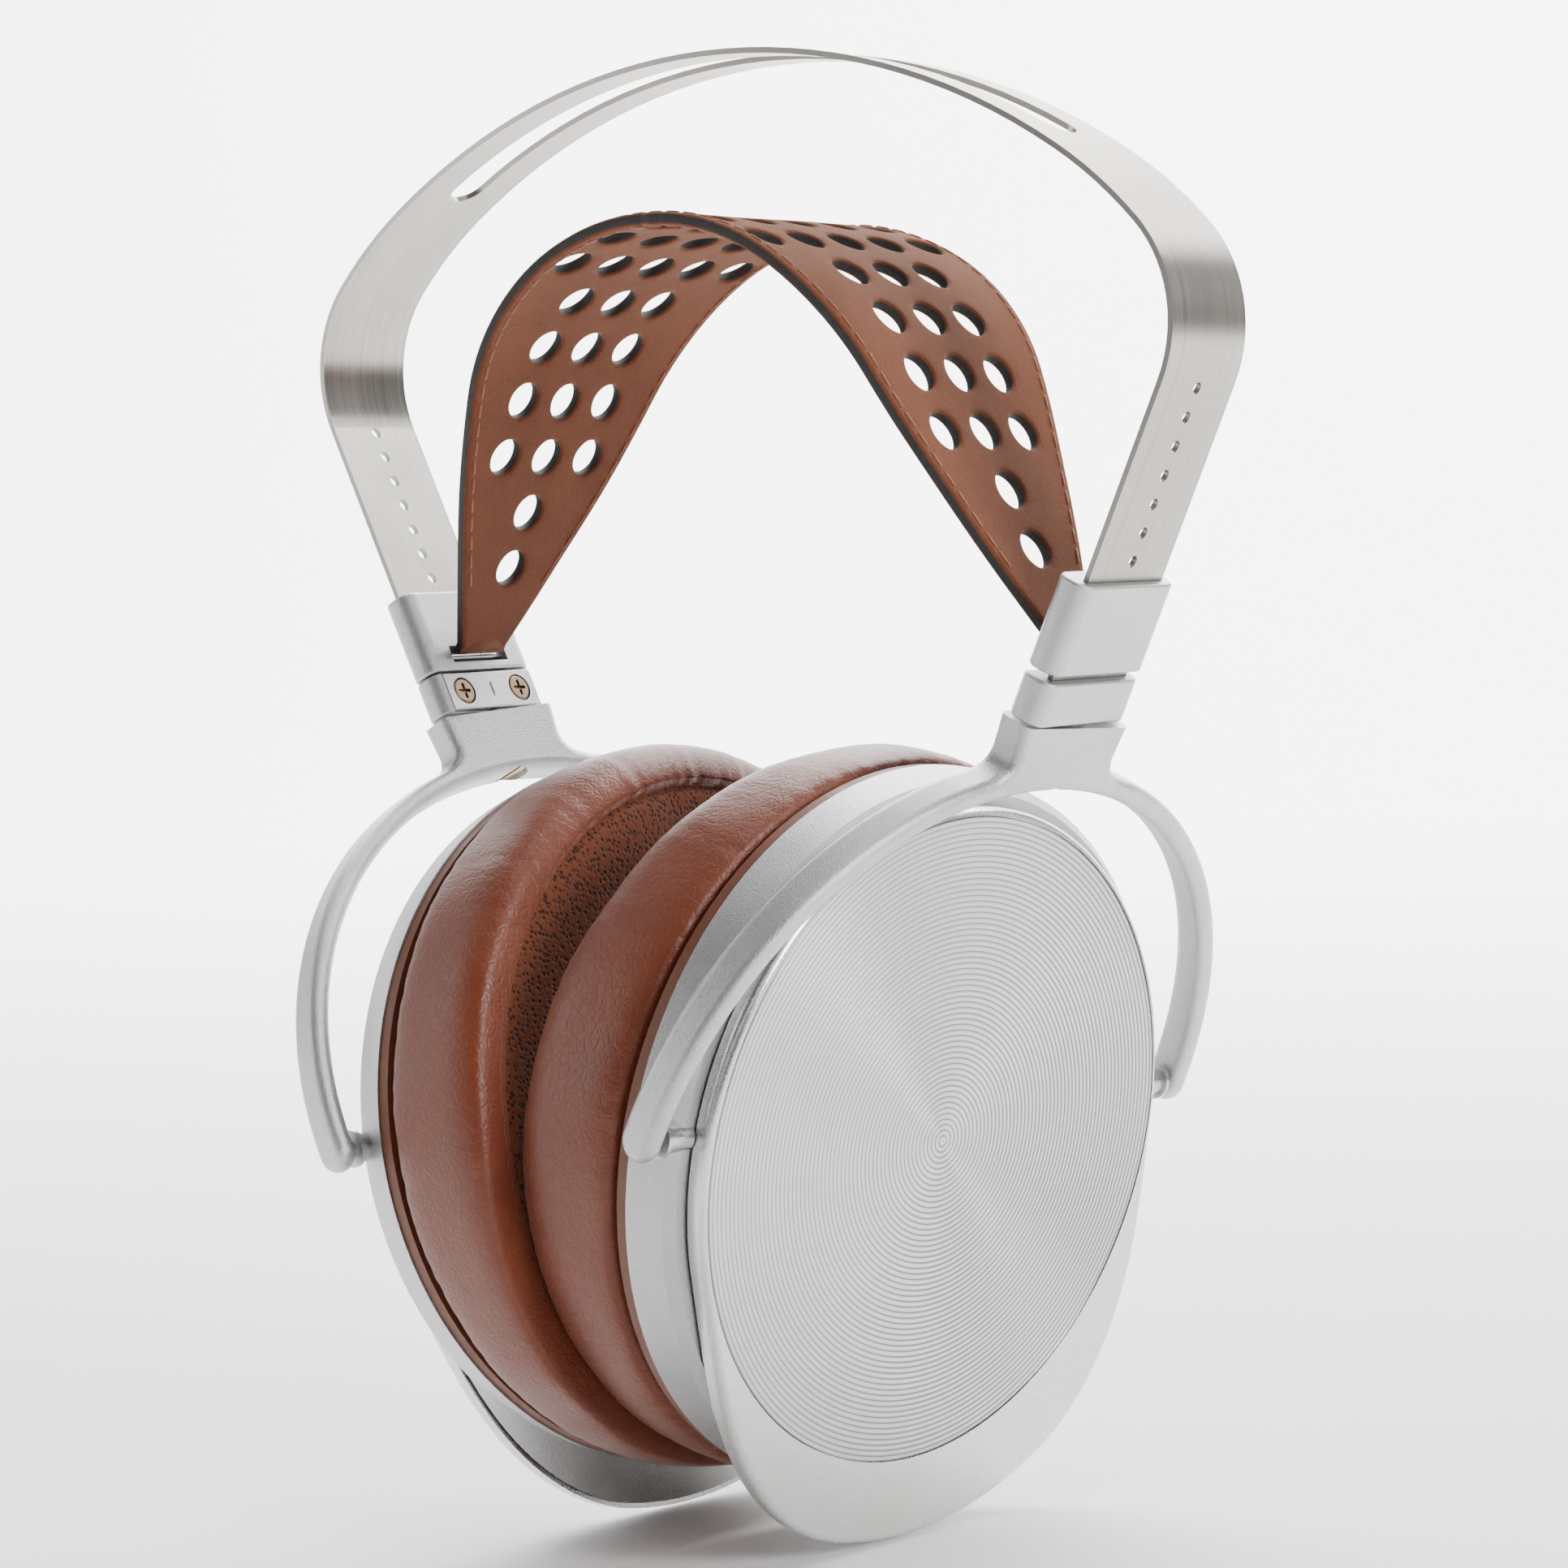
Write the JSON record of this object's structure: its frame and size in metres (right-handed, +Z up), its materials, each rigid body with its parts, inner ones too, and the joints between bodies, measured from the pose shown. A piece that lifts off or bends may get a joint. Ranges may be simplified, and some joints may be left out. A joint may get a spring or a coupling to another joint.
{
  "type": "over ear headphones",
  "caption": "Open headphones with a slotted spring steel headband, perforated suede strap on sliding blocks, yokes, round aluminium cups with a chin, and leather pads.",
  "frame": {"origin": "middle of the underside of the headband at its crown, where the headphones hang", "axes": "+Z up, +Y the way the wearer faces, +X towards the wearer's right cup"},
  "size_m": [0.1702, 0.1234, 0.2298],
  "materials": {
    "spring_steel": "long brushed grain",
    "suede": "suede nap",
    "blasted_aluminium": "fine bead blasted and clear anodised",
    "satin_aluminium": "satin",
    "spun_aluminium": "spun with fine rings",
    "bronze": "dark bronze",
    "swivel_brass": "plain turned",
    "steel": "ground",
    "nylon": "plain",
    "magnet": "nickel plated",
    "driver_plastic": "fine texture",
    "film": "thin metallised film",
    "mesh_steel": "black coated",
    "socket_metal": "turned",
    "pad_plastic": "fine texture",
    "leather": "pebbled grain",
    "pad_fabric": "open knit"
  },
  "bodies": {
    "headband": {"headband_strip": "spring_steel", "end_block_left": "blasted_aluminium", "end_plate_left": "blasted_aluminium", "end_plate_screws_left": "bronze", "swivel_screw_left": "swivel_brass", "swivel_washer_left": "nylon", "end_block_right": "blasted_aluminium", "end_plate_right": "blasted_aluminium", "end_plate_screws_right": "bronze", "swivel_screw_right": "swivel_brass", "swivel_washer_right": "nylon"},
    "strap": {"strap": "suede"},
    "slider_left": {"slider_block_left": "blasted_aluminium", "slider_strap_pin_left": "steel", "slider_click_ball_left": "steel", "slider_click_leaf_left": "steel", "strap_end_left": "suede"},
    "yoke_left": {"yoke_left": "blasted_aluminium", "pivot_pins_left": "steel"},
    "cup_left": {"cup_housing_left": "blasted_aluminium", "pivot_bushes_left": "steel", "cover_catch_magnets_left": "magnet", "driver_frame_left": "driver_plastic", "driver_magnets_left": "magnet", "driver_film_left": "film", "driver_mesh_left": "mesh_steel", "audio_socket_left": "socket_metal", "pad_base_ring_left": "pad_plastic", "pad_leather_left": "leather", "pad_fabric_left": "pad_fabric"},
    "cover_left": {"cover_plate_left": "satin_aluminium", "cover_catch_studs_left": "magnet", "cover_disc_left": "spun_aluminium"},
    "slider_right": {"slider_block_right": "blasted_aluminium", "slider_strap_pin_right": "steel", "slider_click_ball_right": "steel", "slider_click_leaf_right": "steel", "strap_end_right": "suede"},
    "yoke_right": {"yoke_right": "blasted_aluminium", "pivot_pins_right": "steel"},
    "cup_right": {"cup_housing_right": "blasted_aluminium", "pivot_bushes_right": "steel", "cover_catch_magnets_right": "magnet", "driver_frame_right": "driver_plastic", "driver_magnets_right": "magnet", "driver_film_right": "film", "driver_mesh_right": "mesh_steel", "audio_socket_right": "socket_metal", "pad_base_ring_right": "pad_plastic", "pad_leather_right": "leather", "pad_fabric_right": "pad_fabric"},
    "cover_right": {"cover_plate_right": "satin_aluminium", "cover_catch_studs_right": "magnet", "cover_disc_right": "spun_aluminium"}
  },
  "joints": [
    {"name": "strap_height", "type": "slide", "parent": "headband", "child": "strap", "axis": [0, 0, 1], "range_m": [0, 0.0205]},
    {"name": "slider_track_left", "type": "slide", "parent": "strap", "child": "slider_left", "axis": [-1, 0, 0], "range_m": [0, 0.00997]},
    {"name": "yoke_swivel_left", "type": "hinge", "parent": "headband", "child": "yoke_left", "pos_m": [-0.05831, 0, -0.10186], "axis": [-0.4337, 0, 0.9011], "range_deg": [-12, 0]},
    {"name": "cup_tilt_left", "type": "hinge", "parent": "yoke_left", "child": "cup_left", "pos_m": [-0.02947, 0, -0.16178], "axis": [0.1254, 0.9903, 0.0604], "range_deg": [0, 12]},
    {"name": "cover_pull_left", "type": "slide", "parent": "cup_left", "child": "cover_left", "axis": [-0.9779, 0.1336, -0.161], "range_m": [0, 0.02]},
    {"name": "slider_track_right", "type": "slide", "parent": "strap", "child": "slider_right", "axis": [1, 0, 0], "range_m": [0, 0.00997]},
    {"name": "yoke_swivel_right", "type": "hinge", "parent": "headband", "child": "yoke_right", "pos_m": [0.05831, 0, -0.10186], "axis": [0.4337, 0, 0.9011], "range_deg": [0, 12]},
    {"name": "cup_tilt_right", "type": "hinge", "parent": "yoke_right", "child": "cup_right", "pos_m": [0.02947, 0, -0.16178], "axis": [0.077, 0.9963, -0.037], "range_deg": [-12, 0]},
    {"name": "cover_pull_right", "type": "slide", "parent": "cup_right", "child": "cover_right", "axis": [0.9831, -0.082, -0.1635], "range_m": [0, 0.02]}
  ],
  "couplings": [
    {"joint": "slider_track_left", "follows": "strap_height", "ratio": 0.48127},
    {"joint": "slider_track_right", "follows": "strap_height", "ratio": 0.48127}
  ]
}
